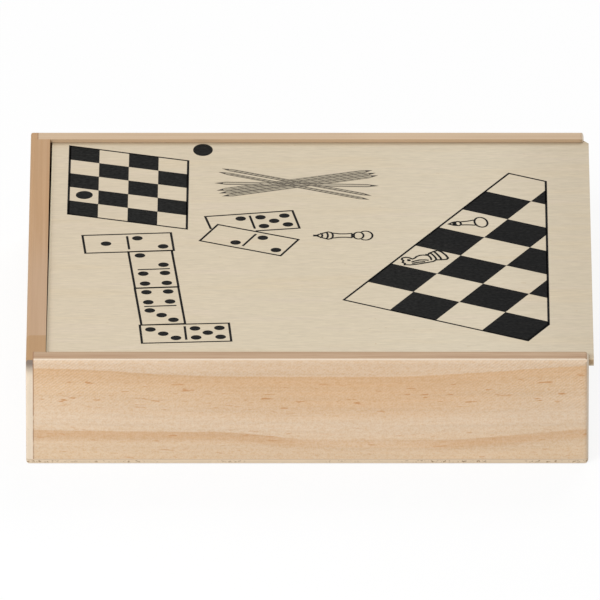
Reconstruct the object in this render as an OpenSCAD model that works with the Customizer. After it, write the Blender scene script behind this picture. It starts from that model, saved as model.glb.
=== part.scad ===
// Games compendium box: a flat wooden case with a sliding lid, holding dominoes,
// pick-up sticks, draughts and chessmen. Millimetres.
// X runs left to right, Y front to back, Z up. The origin is the middle of the
// underside of the case.

/* [Case] */
// Length of the case, left to right
case_l = 200; // [195:1:300]
// Depth of the case, front to back
case_d = 200; // [180:1:300]
// Height of the case with its base
case_h = 40.5; // [39.5:0.5:80]
// Thickness of the four walls
wall_t = 7; // [5.5:0.1:8.5]
// Thickness of the plywood base
base_t = 1.8; // [1.2:0.1:3]
// Radius of the sanded edges at both ends and along the rim
edge_r = 1.5; // [0.4:0.1:2]
// Radius of the long lower edges, where the base is trimmed flush
foot_r = 0.4; // [0.2:0.1:1.5]
// Radius of the upright corners at the closed end
corner_r = 0.5; // [0.2:0.1:2]
// Radius of the upright corners of the long walls at the open end
end_r = 1.6; // [0.4:0.1:2]
// Thickness that the left wall keeps where it covers the ends of the long walls
cheek_t = 2.6; // [1.5:0.1:4]
// Depth that the low end wall is let into the long walls
rebate_d = 2.5; // [1:0.1:3.5]
// Depth that a divider is let into what holds it
housing_d = 1.2; // [0.5:0.1:2]
// Thickness of the dividers
divider_t = 3; // [2:0.1:4]
// Height of the dividers above the base
divider_h = 24; // [12:0.5:30]

/* [Lid] */
// Thickness of the sliding lid
lid_t = 3; // [2:0.1:4]
// Depth of the lid's top face below the rim
lid_recess = 1.5; // [1:0.1:2.5]
// Depth of the grooves that hold the lid
groove_d = 2.2; // [1.5:0.1:3]
// Clearance between the lid and its grooves on every side
lid_fit = 0.2; // [0.1:0.05:0.5]
// How far the lid stands out past the open end
lid_out = 1.8; // [0:0.1:2]
// How far the lid's inner edge is cut out of square
lid_skew = 0.7; // [0:0.1:1.5]
// Length of the lid's clipped corner along X
lid_clip_x = 1.7; // [0.5:0.1:4]
// Length of the lid's clipped corner along Y
lid_clip_y = 2.4; // [0.5:0.1:4]

/* [Brads] */
// Diameter of the brads that hold the base
brad_d = 1.2; // [1:0.1:1.6]
// Length of a brad with its head
brad_l = 10; // [6:0.5:14]
// Diameter of a brad's head
brad_head_d = 2.2; // [1.8:0.1:3]
// Thickness of a brad's head
brad_head_t = 0.5; // [0.3:0.1:1]
// Clearance round a brad
brad_fit = 0.04; // [0.02:0.01:0.1]
// Distance of the first and last brad from the ends of a long wall
brad_inset = 28; // [14:1:40]
// Number of brads under each long wall
long_brads = 4; // [2:1:8]
// Number of brads under each end wall
short_brads = 2; // [1:1:6]

/* [Dominoes] */
// Length of a domino tile
tile_l = 50; // [40:0.5:60]
// Width of a domino tile
tile_w = 25; // [20:0.5:25.5]
// Thickness of a domino tile
tile_t = 8; // [6:0.1:8.4]
// Radius of a tile's edges
tile_r = 0.9; // [0.3:0.1:2]
// Diameter of a sunk pip
pip_d = 3.6; // [2:0.1:4.5]
// Depth of a sunk pip and of the bar across a tile
pip_depth = 0.6; // [0.3:0.1:1]
// Distance between neighbouring pips
pip_step = 6.5; // [4.8:0.1:7]
// Width of the bar across a tile
bar_w = 0.8; // [0.4:0.1:2]
// Distance of the bar's ends from the long sides of a tile
bar_inset = 3; // [1.5:0.5:8]
// Gap between neighbouring stacks of tiles
tile_gap = 0.4; // [0.2:0.1:1]
// Room left at each end of the tiles in their compartment
tile_room = 1; // [0.5:0.1:5]

/* [Sticks] */
// Diameter of a pick-up stick
stick_d = 3; // [2.5:0.1:4]
// Length of a stick's pointed end
stick_tip_l = 9; // [4:0.5:15]
// Diameter of a stick's blunt point
stick_tip_d = 0.8; // [0.4:0.1:1.5]
// Room left at each end of the sticks
stick_room = 3; // [1:0.5:10]
// Gap between neighbouring sticks
stick_gap = 0.05; // [0.02:0.01:0.2]
// Side room beside the sticks in their compartment
stick_play = 1.75; // [0.5:0.05:10]

/* [Draughts] */
// Diameter of a draughtsman
disc_d = 22; // [16:0.5:26]
// Thickness of a draughtsman
disc_t = 5.4; // [4:0.1:5.6]
// Chamfer on a draughtsman's rim
disc_rim = 0.8; // [0.3:0.1:1.5]
// Radius of the turned ring in a draughtsman's faces
ring_r = 7.5; // [4:0.5:7.5]
// Width of the turned ring
ring_w = 1.2; // [0.6:0.1:2]
// Depth of the turned ring
ring_depth = 0.5; // [0.2:0.1:1]
// Gap between the draughtsmen and the dividers beside them
disc_gap = 0.5; // [0.3:0.1:2]
// Gap between one draughtsman and the next in a stack
disc_air = 0.04; // [0.02:0.01:0.1]

/* [Chessmen] */
// Distance between neighbouring chessmen along a row
man_pitch = 19; // [17:0.5:19.5]
// Distance between the two rows of a side
man_row = 18; // [17:0.5:20]
// Height of a king
king_h = 32.4; // [26:0.1:33]
// Diameter of a king's foot
king_d = 16; // [12:0.5:16.5]
// Diameter of a pawn's foot
pawn_d = 13; // [10:0.5:15]
// Height of a pawn
pawn_h = 21; // [16:0.5:24]

/* [Hidden] */
$fn = 48;
// Reach of a cut past the face that it opens
over = 1;

// Inside faces of the case
in_x = case_l / 2 - wall_t;
in_y = case_d / 2 - wall_t;
wall_h = case_h - base_t;

// Lid and grooves
lid_top = case_h - lid_recess;
lid_z = lid_top - lid_t;
groove_z = lid_z - lid_fit;
groove_h = lid_t + 2 * lid_fit;
lid_half = in_y + groove_d - lid_fit;
low_h = groove_z - base_t;

// Compartments, from front to back and then left to right
stick_row = 5;
stick_pitch = stick_d + stick_gap;
stick_bay = stick_row * stick_pitch + stick_play;
tile_bay = tile_l + 2 * tile_room;
front_div_y = -in_y + tile_bay;
back_div_y = in_y - stick_bay - divider_t;
men_y0 = front_div_y + divider_t;
men_y1 = back_div_y;
men_rank = 8;
cross_x = -in_x + men_rank * man_pitch;

// Tiles are stacked four high, in order of their numbers
tile_high = 4;
top_number = 6;
tile_pairs = [for (a = [0 : top_number]) for (b = [a : top_number]) [a, b]];

// Sticks lie in layers of five and four by turns
stick_layer = stick_pitch * sqrt(3) / 2;
stick_count = 41;
stick_kinds = [[20, 1], [10, 5], [5, 5], [3, 15], [2, 15]];
stick_step = 7;
stick_l = 2 * (in_x - stick_room);

// Draughtsmen are stacked six high, two stacks of each colour
disc_high = 6;
disc_stacks = 4;
disc_x = cross_x + divider_t + disc_gap + disc_d / 2;
disc_pitch = (men_y1 - men_y0 - disc_d - 2 * disc_gap) / (disc_stacks - 1);

// Chessmen are proportioned on the king and the pawn
big_d = king_d - 1;
rook_d = king_d - 2;
king_neck_d = king_d * 0.34;
crown_foot_d = king_d * 0.36;
foot_h = 2.4;
collar_r = 0.7;
queen_h = king_h - 2.4;
bishop_h = king_h - 5;
knight_h = king_h - 6.5;
rook_h = pawn_h + 3;
// Distance of each rank's middle from its divider, in rows
officer_row = 0.5;
pawn_row = 1.45;
back_rank = ["rook", "knight", "bishop", "queen", "king", "bishop", "knight", "rook"];
men_kinds = ["king", "queen", "bishop", "knight", "rook", "pawn"];

case_names = ["base_panel", "front_wall", "back_wall", "end_wall", "low_end_wall",
    "front_divider", "back_divider", "cross_divider", "base_brads", "lid"];

function tile_name(p) = str("domino_", p[0], "_", p[1]);
function stick_name(k) = str("sticks_", k[0], "_points");
function total(list, n) = n == 0 ? 0 : list[n - 1][1] + total(list, n - 1);

// A rectangle with round corners, centred
module round_rect(l, d, r) {
    square([l - 2 * r, d], center = true);
    square([l, d - 2 * r], center = true);
    for (x = [-1, 1], y = [-1, 1])
        translate([x * (l / 2 - r), y * (d / 2 - r)]) circle(r);
}

// What a round of radius r takes off a square corner whose point is the origin
module corner_waste(r) {
    translate([-r, -r]) difference() {
        square(r + over);
        circle(r);
    }
}

module case_outline() {
    difference() {
        square([case_l, case_d], center = true);
        for (s = [0, 1]) mirror([0, s]) {
            translate([case_l / 2, case_d / 2]) corner_waste(end_r);
            mirror([1, 0]) translate([case_l / 2, case_d / 2]) corner_waste(corner_r);
        }
    }
}

// Section of the case from front to back, well rounded above and nearly sharp below
module case_section() {
    difference() {
        translate([-case_d / 2, 0]) square([case_d, case_h]);
        for (s = [0, 1]) mirror([s, 0]) {
            translate([case_d / 2, case_h]) corner_waste(edge_r);
            translate([case_d / 2, 0]) mirror([0, 1]) corner_waste(foot_r);
        }
    }
}

// The whole outside of the case, sanded along every edge
module case_block() {
    intersection() {
        linear_extrude(case_h) case_outline();
        translate([0, case_d / 2, case_h / 2]) rotate([90, 0, 0])
            linear_extrude(case_d) round_rect(case_l, case_h, edge_r);
        translate([-case_l / 2, 0, 0]) rotate([90, 0, 90]) linear_extrude(case_l) case_section();
    }
}

// Section of a tall wall: outer face at x = 0, lid groove inside
module wall_section() {
    difference() {
        square([wall_t, wall_h]);
        translate([wall_t - groove_d, groove_z - base_t]) square([groove_d + over, groove_h]);
    }
}

// Brads stand in a row down the middle of each wall
module brad_places() {
    step_x = (case_l - 2 * brad_inset) / (long_brads - 1);
    step_y = (case_d - 2 * brad_inset) / short_brads;
    for (s = [-1, 1]) {
        for (k = [0 : long_brads - 1])
            translate([(k - (long_brads - 1) / 2) * step_x, s * (case_d - wall_t) / 2, 0]) children();
        for (k = [0 : short_brads - 1])
            translate([s * (case_l - wall_t) / 2, (k - (short_brads - 1) / 2) * step_y, 0]) children();
    }
}

module brad(grow) {
    cylinder(d = brad_d + 2 * grow, h = brad_l + grow);
    cylinder(d = brad_head_d + 2 * grow, h = brad_head_t + grow);
}

module brad_holes() {
    brad_places() translate([0, 0, -over]) cylinder(d = brad_head_d + 2 * brad_fit, h = over);
    brad_places() brad(brad_fit);
}

module base_brads() {
    color("silver") brad_places() brad(0);
}

module base_panel() {
    color("tan") difference() {
        intersection() {
            case_block();
            translate([-case_l / 2, -case_d / 2, 0]) cube([case_l, case_d, base_t]);
        }
        brad_holes();
    }
}

module long_wall() {
    start = -case_l / 2 + cheek_t;
    difference() {
        intersection() {
            translate([start, -case_d / 2, base_t]) rotate([90, 0, 90])
                linear_extrude(case_l - cheek_t) wall_section();
            case_block();
        }
        translate([case_l / 2, -in_y, groove_z]) linear_extrude(wall_h) corner_waste(end_r);
        translate([in_x, -in_y - rebate_d, base_t - over])
            cube([wall_t + over, rebate_d + over, low_h + over]);
        brad_holes();
    }
}

module front_wall() {
    color("burlywood") long_wall();
}

module back_wall() {
    color("burlywood") mirror([0, 1, 0]) long_wall();
}

// Housings for the ends of the two long dividers
module divider_housings() {
    for (y = [front_div_y, back_div_y])
        translate([-in_x - housing_d, y, base_t - over])
            cube([2 * (in_x + housing_d), divider_t, divider_h + over]);
}

module end_wall() {
    color("peru") difference() {
        intersection() {
            translate([-case_l / 2, case_d / 2, base_t]) rotate([90, 0, 0])
                linear_extrude(case_d) wall_section();
            case_block();
        }
        for (s = [0, 1]) mirror([0, s, 0])
            translate([-case_l / 2 + cheek_t, in_y, base_t - over])
                cube([wall_t, wall_t + over, wall_h + 2 * over]);
        divider_housings();
        brad_holes();
    }
}

module low_end_wall() {
    color("peru") difference() {
        translate([in_x, -in_y - rebate_d, base_t])
            cube([wall_t, 2 * (in_y + rebate_d), low_h]);
        divider_housings();
        brad_holes();
    }
}

module long_divider(y, side) {
    color("wheat") difference() {
        translate([-in_x - housing_d, y, base_t])
            cube([2 * (in_x + housing_d), divider_t, divider_h]);
        translate([cross_x, y + side * (divider_t - housing_d), base_t - over])
            cube([divider_t, housing_d, divider_h + 2 * over]);
    }
}

module front_divider() {
    long_divider(front_div_y, 1);
}

module back_divider() {
    long_divider(back_div_y, 0);
}

module cross_divider() {
    color("wheat") translate([cross_x, men_y0 - housing_d, base_t])
        cube([divider_t, men_y1 - men_y0 + 2 * housing_d, divider_h]);
}

module lid() {
    left = -in_x + lid_fit / 2;
    right = case_l / 2 + lid_out;
    color("beige") translate([0, 0, lid_z]) linear_extrude(lid_t) polygon([
        [left, -lid_half], [right, -lid_half], [right, lid_half - lid_clip_y],
        [right - lid_clip_x, lid_half], [left + lid_skew, lid_half]]);
}

// Places of the pips of a number, in steps from the middle of its half
function pips(n) = concat(
    n % 2 == 1 ? [[0, 0]] : [],
    n >= 2 ? [[-1, -1], [1, 1]] : [],
    n >= 4 ? [[-1, 1], [1, -1]] : [],
    n == 6 ? [[-1, 0], [1, 0]] : []);

module tile_pips(n, y) {
    ball_r = (pow(pip_d / 2, 2) + pow(pip_depth, 2)) / (2 * pip_depth);
    for (p = pips(n))
        translate([p[0] * pip_step, y + p[1] * pip_step, tile_t - pip_depth + ball_r])
            sphere(ball_r);
}

module tile_body() {
    intersection() {
        linear_extrude(tile_t) round_rect(tile_w, tile_l, tile_r);
        translate([0, tile_l / 2, tile_t / 2]) rotate([90, 0, 0])
            linear_extrude(tile_l) round_rect(tile_w, tile_t, tile_r);
        translate([-tile_w / 2, 0, tile_t / 2]) rotate([90, 0, 90])
            linear_extrude(tile_w) round_rect(tile_l, tile_t, tile_r);
    }
}

module tile_place(i) {
    column = floor(i / tile_high);
    translate([-in_x + tile_gap + tile_w / 2 + column * (tile_w + tile_gap),
        -in_y + tile_bay / 2, base_t + (i % tile_high) * tile_t]) children();
}

// A tile with its two numbers and the bar between them on the upper face
module domino(i) {
    color("burlywood") tile_place(i) difference() {
        tile_body();
        tile_pips(tile_pairs[i][0], -tile_l / 4);
        tile_pips(tile_pairs[i][1], tile_l / 4);
        translate([-tile_w / 2 + bar_inset, -bar_w / 2, tile_t - pip_depth])
            cube([tile_w - 2 * bar_inset, bar_w, over]);
    }
}

module stick() {
    half = stick_l / 2;
    rotate([0, 90, 0]) {
        translate([0, 0, -half + stick_tip_l])
            cylinder(d = stick_d, h = stick_l - 2 * stick_tip_l);
        for (s = [0, 1]) mirror([0, 0, s]) translate([0, 0, half - stick_tip_l])
            cylinder(d1 = stick_d, d2 = stick_tip_d, h = stick_tip_l);
    }
}

// Two layers hold nine sticks: five below and four in the hollows above
module stick_place(i) {
    two_rows = 2 * stick_row - 1;
    pair = floor(i / two_rows);
    upper = i % two_rows >= stick_row ? 1 : 0;
    column = i % two_rows - stick_row * upper + upper / 2;
    translate([0, in_y - stick_bay / 2 + (column - (stick_row - 1) / 2) * stick_pitch,
        base_t + stick_d / 2 + (2 * pair + upper) * stick_layer]) children();
}

// The kinds are shuffled through the pile by a fixed step
module sticks(k) {
    first = total(stick_kinds, k);
    color("goldenrod") for (n = [first : first + stick_kinds[k][1] - 1])
        stick_place((n * stick_step) % stick_count) stick();
}

// A flat disc with a chamfered rim and a turned ring in each face
module draughtsman() {
    disc_r = disc_d / 2;
    rotate_extrude() difference() {
        polygon([[0, 0], [disc_r - disc_rim, 0], [disc_r, disc_rim], [disc_r, disc_t - disc_rim],
            [disc_r - disc_rim, disc_t], [0, disc_t]]);
        for (z = [0, disc_t]) translate([ring_r, z])
            square([ring_w, 2 * ring_depth], center = true);
    }
}

module draughts(shade, first) {
    color(shade) for (s = [first, first + 1], level = [0 : disc_high - 1])
        translate([disc_x, (men_y0 + men_y1) / 2 + (s - (disc_stacks - 1) / 2) * disc_pitch,
            base_t + level * (disc_t + disc_air)]) draughtsman();
}

// Half section of a turned foot with a stem that curves in to a neck at height h
module stem_section(foot_r, neck_r, h) {
    foot_round = foot_h / 2;
    drop = h - foot_h;
    flare = foot_r - foot_round - neck_r;
    curve_r = (flare * flare + drop * drop) / (2 * flare);
    square([foot_r - foot_round, foot_h]);
    translate([foot_r - foot_round, foot_round]) circle(foot_round);
    difference() {
        square([foot_r - foot_round, h]);
        translate([neck_r + curve_r, h]) circle(curve_r, $fn = 240);
    }
}

// Foot, stem and collar of a chessman, with the middle of the collar at height h
module stem(foot_d, neck_d, h) {
    rotate_extrude() {
        stem_section(foot_d / 2, neck_d / 2, h);
        translate([0, h - collar_r]) square([neck_d / 2 + collar_r, 2 * collar_r]);
        translate([neck_d / 2 + collar_r, h]) circle(collar_r);
    }
}

module pawn() {
    ball_d = pawn_d * 0.54;
    neck_d = pawn_d * 0.36;
    stem(pawn_d, neck_d, pawn_h - ball_d);
    translate([0, 0, pawn_h - ball_d / 2]) sphere(d = ball_d);
}

module rook() {
    tower_d = big_d * 0.64;
    tower_h = 7;
    neck_d = tower_d * 0.7;
    hollow_d = tower_d * 0.6;
    notch = 1.8;
    base = rook_h - tower_h;
    stem(rook_d, neck_d, base);
    translate([0, 0, base]) difference() {
        cylinder(d = tower_d, h = tower_h);
        translate([0, 0, tower_h - notch]) cylinder(d = hollow_d, h = notch + over);
        for (turn = [0, 90]) rotate([0, 0, turn])
            translate([-tower_d, -notch / 2, tower_h - notch])
                cube([2 * tower_d, notch, notch + over]);
    }
}

// The horse's head is a plain outline, cut to the round of its foot
module knight() {
    foot_top = 5;
    head_t = 6.4;
    neck_d = big_d * 0.62;
    drawn_h = 20;
    scale_up = (knight_h - foot_top) / drawn_h;
    stem(big_d, neck_d, foot_top);
    intersection() {
        translate([-head_t / 2, 0, foot_top]) rotate([90, 0, 90]) linear_extrude(head_t)
            polygon(scale_up * [[-5, -1], [-5.6, 4], [-4.6, 10], [-2, 15.5], [-1.4, 20],
                [0.8, 17], [3, 15.4], [6.4, 10.6], [6.2, 8.6], [4.4, 8], [1.6, 9.4],
                [1, 7.4], [4.2, 3.4], [5, -1]]);
        cylinder(d = big_d, h = knight_h);
    }
}

module bishop() {
    mitre_d = big_d * 0.5;
    mitre_h = 9.5;
    neck_d = big_d * 0.34;
    tip_d = 1.8;
    base = bishop_h - mitre_h;
    cone_z = mitre_d * 0.66;
    cone_d = mitre_d * 0.94;
    slit = [0.8, mitre_d * 2, mitre_h * 0.42];
    slit_place = [mitre_d * 0.36, 0, base + mitre_h * 0.55];
    slit_tilt = -38;
    stem(big_d, neck_d, base);
    difference() {
        union() {
            translate([0, 0, base + mitre_d / 2]) sphere(d = mitre_d);
            translate([0, 0, base + cone_z])
                cylinder(d1 = cone_d, d2 = tip_d * 0.6, h = mitre_h - cone_z - tip_d / 2);
            translate([0, 0, bishop_h - tip_d / 2]) sphere(d = tip_d);
        }
        translate(slit_place) rotate([0, slit_tilt, 0]) cube(slit, center = true);
    }
}

module queen() {
    crown_h = 6.5;
    crown_d = king_d * 0.58;
    ball_d = 2.8;
    points = 8;
    base = queen_h - crown_h - ball_d / 2;
    stem(king_d, king_neck_d, base);
    translate([0, 0, base]) difference() {
        cylinder(d1 = crown_foot_d, d2 = crown_d, h = crown_h);
        for (n = [0 : points - 1]) rotate([0, 0, n * 360 / points])
            translate([crown_d / 2, 0, crown_h]) sphere(d = ball_d);
    }
    translate([0, 0, queen_h - ball_d / 2]) sphere(d = ball_d);
}

module king() {
    crown_h = 5.4;
    crown_d = king_d * 0.54;
    dome_h = 1.2;
    cross_h = 4.6;
    arm = 1.4;
    span = 3.8;
    arms_z = king_h - cross_h * 0.55;
    base = king_h - crown_h - dome_h - cross_h;
    stem(king_d, king_neck_d, base);
    translate([0, 0, base]) cylinder(d1 = crown_foot_d, d2 = crown_d, h = crown_h);
    translate([0, 0, base + crown_h]) cylinder(d1 = crown_d, d2 = 2 * arm, h = dome_h);
    translate([-arm / 2, -arm / 2, king_h - cross_h - dome_h / 2])
        cube([arm, arm, cross_h + dome_h / 2]);
    translate([-span / 2, -arm / 2, arms_z]) cube([span, arm, arm]);
}

module man(kind) {
    if (kind == "king") king();
    if (kind == "queen") queen();
    if (kind == "bishop") bishop();
    if (kind == "knight") knight();
    if (kind == "rook") rook();
    if (kind == "pawn") pawn();
}

// The light men stand at the front of their compartment and the dark men at its back,
// each side facing the other across the gap between them
module army(kind, shade, side) {
    back_y = side > 0 ? men_y1 : men_y0;
    color(shade) for (file = [0 : men_rank - 1]) {
        x = -in_x + (file + 0.5) * man_pitch;
        if (kind == "pawn")
            translate([x, back_y - side * pawn_row * man_row, base_t]) pawn();
        else if (back_rank[file] == kind)
            translate([x, back_y - side * officer_row * man_row, base_t])
                rotate([0, 0, side > 0 ? 180 : 0]) man(kind);
    }
}

base_panel();
front_wall();
back_wall();
end_wall();
low_end_wall();
front_divider();
back_divider();
cross_divider();
base_brads();
lid();
for (i = [0 : len(tile_pairs) - 1])
    domino(i);
for (k = [0 : len(stick_kinds) - 1])
    sticks(k);
draughts("wheat", 0);  // draughts_light
draughts("sienna", disc_stacks / 2);  // draughts_dark
for (kind = men_kinds) army(kind, "wheat", -1);
for (kind = men_kinds) army(kind, "sienna", 1);
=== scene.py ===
"""Looks of the games compendium box: timber, plywood, print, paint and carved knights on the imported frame."""

import math

import bmesh
import bpy
from mathutils import Matrix, Vector


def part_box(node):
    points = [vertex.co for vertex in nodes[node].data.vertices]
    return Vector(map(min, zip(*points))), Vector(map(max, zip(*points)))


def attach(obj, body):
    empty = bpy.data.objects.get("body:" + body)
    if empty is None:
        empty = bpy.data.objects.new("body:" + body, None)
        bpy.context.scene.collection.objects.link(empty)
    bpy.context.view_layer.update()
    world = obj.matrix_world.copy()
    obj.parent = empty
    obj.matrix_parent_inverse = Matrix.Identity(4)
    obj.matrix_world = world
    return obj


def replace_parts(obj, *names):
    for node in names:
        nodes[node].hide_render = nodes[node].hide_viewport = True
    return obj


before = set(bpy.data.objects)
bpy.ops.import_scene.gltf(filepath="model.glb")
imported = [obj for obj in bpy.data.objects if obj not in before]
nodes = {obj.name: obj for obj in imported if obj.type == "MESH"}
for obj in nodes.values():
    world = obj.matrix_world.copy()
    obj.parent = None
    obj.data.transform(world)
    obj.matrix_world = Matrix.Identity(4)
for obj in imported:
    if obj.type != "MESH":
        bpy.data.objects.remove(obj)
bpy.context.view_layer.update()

MM = 0.001


# Colours, as sRGB values out of 255, and how a material takes them

def rgb(red, green, blue):
    """Linear RGBA of an sRGB colour."""
    def linear(value):
        value /= 255
        return value / 12.92 if value <= 0.04045 else ((value + 0.055) / 1.055) ** 2.4
    return (linear(red), linear(green), linear(blue), 1.0)


INK = rgb(29, 29, 28)
INK_DEEP = rgb(21, 21, 21)
INK_WORN = rgb(42, 40, 37)


def feed(socket, value):
    """Links an output to an input socket, or sets the input to a value."""
    if isinstance(value, bpy.types.NodeSocket):
        socket.id_data.links.new(value, socket)
    elif socket.type == "VECTOR":
        socket.default_value = value[:3]
    else:
        socket.default_value = value


class NodeTree:
    """The node tree of a material or the world, emptied, with short calls that add nodes to it."""

    def __init__(self, owner):
        owner.use_nodes = True
        self.tree = owner.node_tree
        self.tree.nodes.clear()

    def node(self, kind, *values, **settings):
        """A new node with its settings. The values or outputs go to its inputs in their order."""
        made = self.tree.nodes.new("ShaderNode" + kind)
        for key, value in settings.items():
            setattr(made, key, value)
        for socket, value in zip(made.inputs, values):
            feed(socket, value)
        return made

    def math(self, operation, *values):
        return self.node("Math", *values, operation=operation).outputs[0]


class Shader(NodeTree):
    """The nodes of one material, made with short calls that each return an output socket."""

    def __init__(self, name):
        self.material = bpy.data.materials.new(name)
        super().__init__(self.material)
        self.principled = self.node("BsdfPrincipled")
        self.node("OutputMaterial", self.principled.outputs[0])
        coords = self.node("TexCoord").outputs
        self.place = self.scale(coords["Object"], 1 / MM)
        self.x, self.y, self.z = self.split(self.place)
        self.nx, self.ny, self.nz = self.split(coords["Normal"])

    def scale(self, vector, factor):
        made = self.node("VectorMath", vector, operation="SCALE")
        feed(made.inputs["Scale"], factor)
        return made.outputs[0]

    def split(self, vector):
        return tuple(self.node("SeparateXYZ", vector).outputs)

    def add(self, a, b):
        return self.math("ADD", a, b)

    def sub(self, a, b):
        return self.math("SUBTRACT", a, b)

    def mul(self, a, b):
        return self.math("MULTIPLY", a, b)

    def both(self, *masks):
        """Where all the masks hold."""
        found = masks[0]
        for mask in masks[1:]:
            found = self.mul(found, mask)
        return found

    def either(self, a, b):
        return self.math("MAXIMUM", a, b)

    def step(self, value, low, high):
        """0 below low and 1 above high, smooth between; a high under low turns it round."""
        return self.node("MapRange", value, low, high, 0.0, 1.0, interpolation_type="SMOOTHSTEP").outputs[0]

    def within(self, value, low, high, soft=0.05):
        """1 where value lies between low and high."""
        return self.mul(self.step(value, low - soft, low + soft), self.step(value, high + soft, high - soft))

    def facing(self, component, level):
        """1 where that part of the normal, taken without its sign, is above level."""
        return self.step(self.math("ABSOLUTE", component), level - 0.1, level + 0.1)

    def join(self, x, y, z):
        return self.node("CombineXYZ", x, y, z).outputs[0]

    def noise(self, size, detail=2, roughness=0.5, shift=0, place=None):
        """Noise from 0 to 1 whose features measure size = (x, y, z) millimetres."""
        mapped = self.node("Mapping", self.place if place is None else place)
        mapped.inputs["Scale"].default_value = [1 / s for s in size]
        mapped.inputs["Location"].default_value = (shift, shift * 0.7, -shift)
        made = self.node("TexNoise", mapped.outputs[0])
        for name, value in (("Scale", 1.0), ("Detail", detail), ("Roughness", roughness)):
            made.inputs[name].default_value = value
        return made.outputs[0]

    def ramp(self, value, stops):
        """Colour ramp; stops are (position, colour)."""
        made = self.node("ValToRGB", value)
        ramp = made.color_ramp
        ramp.interpolation = "EASE"
        while len(ramp.elements) < len(stops):
            ramp.elements.new(1.0)
        for element, (position, colour) in zip(ramp.elements, stops):
            element.position = position
            element.color = colour
        return made.outputs[0]

    def mix(self, factor, a, b, blend="MIX"):
        made = self.node("Mix", factor, data_type="RGBA", blend_type=blend)
        first, second, result = made.inputs[6], made.inputs[7], made.outputs[2]
        feed(first, a)
        feed(second, b)
        return result

    def shade(self, colour, value, amount):
        """The colour made lighter and darker by a noise from 0 to 1: amount is the share at either end."""
        return self.scale(colour, self.add(self.mul(self.sub(value, 0.5), 2 * amount), 1.0))

    def finish(self, colour, height, roughness, specular, depth):
        """The material with its finish set. height is a noise, and depth its bump in millimetres."""
        inputs = self.principled.inputs
        feed(inputs["Base Color"], colour)
        feed(inputs["Roughness"], roughness)
        inputs["Specular IOR Level"].default_value = specular
        bump = self.node("Bump")
        feed(bump.inputs["Distance"], depth * MM)
        feed(bump.inputs["Height"], height)
        feed(inputs["Normal"], bump.outputs[0])
        return self.material


def along(grain, length, width):
    """Size of a noise feature that is long on the grain axis and narrow on the others."""
    return [length if axis == grain else width for axis in "XYZ"]


def fibre(s, grain, fine):
    """Fine fibres, broad streaks and slow drift of bare timber with its grain on an axis."""
    thin = s.noise(along(grain, 70 * fine, fine), detail=3, roughness=0.6)
    broad = s.noise(along(grain, 110, 2.4), detail=2, shift=7)
    drift = s.noise((55, 55, 55), detail=1, shift=3)
    return thin, broad, drift


def grained(s, colour, grain, amount=1.0, fine=0.4):
    """The colour with the streaks of its grain, and the fibre noise for its bump."""
    thin, broad, drift = fibre(s, grain, fine)
    for noise, share in ((thin, 0.055), (broad, 0.05), (drift, 0.05)):
        colour = s.shade(colour, noise, share * amount)
    return colour, thin


# Timber of the case

FLECK = rgb(199, 143, 92)
# Colour of the painted highlight on the long walls' rounded outer top edge
JOINT_LINE = rgb(156, 114, 84)
EDGE_HIGHLIGHT = rgb(238, 223, 204)
# Colour of the painted shadow along the front rail's inner top edge
LIP_SHADOW_COLOUR = rgb(166, 138, 108)
# What brings the mean tone back up after the speckle and the spots have taken from it
MOTTLE_GAIN = (1.063, 1.115, 1.195, 1.0)


def mottled(s, colour):
    """The colour with the speckle of planed pine, half a millimetre wide, and softer, wider spots."""
    speckle = s.noise((0.55, 0.55, 0.5), detail=1, roughness=0.6, shift=13)
    spots = s.noise((2.2, 2.2, 1.0), detail=1, shift=25)
    colour = s.shade(colour, speckle, 0.07)
    for factor, tone in ((s.mul(s.step(speckle, 0.3, 0.75), 0.7), rgb(238, 226, 206)),
                         (s.mul(s.step(spots, 0.35, 0.7), 0.35), rgb(244, 232, 216)), (1.0, MOTTLE_GAIN)):
        colour = s.mix(factor, colour, tone, blend="MULTIPLY")
    return colour


def ring_height(s, x, bows, wander):
    """Height in millimetres, bent as a year ring rises along a wall: bows are (rise, from, to)."""
    height = s.z
    for rise, start, end in bows:
        height = s.sub(height, s.mul(s.step(x, start, end), rise))
    return s.add(height, wander)


# Tone of a wall's face at heights in millimetres, from the bottom to the top
BAND_TONES = [(0.0, rgb(223, 196, 164)), (6.0, rgb(223, 196, 165)), (15.0, rgb(225, 200, 172)),
              (20.0, rgb(223, 195, 164)), (26.0, rgb(221, 190, 156)), (32.5, rgb(218, 182, 144)),
              (33.5, rgb(215, 178, 139)), (34.1, rgb(222, 195, 166)), (40.0, rgb(222, 196, 168)),
              (46.0, rgb(215, 188, 160))]


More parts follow.
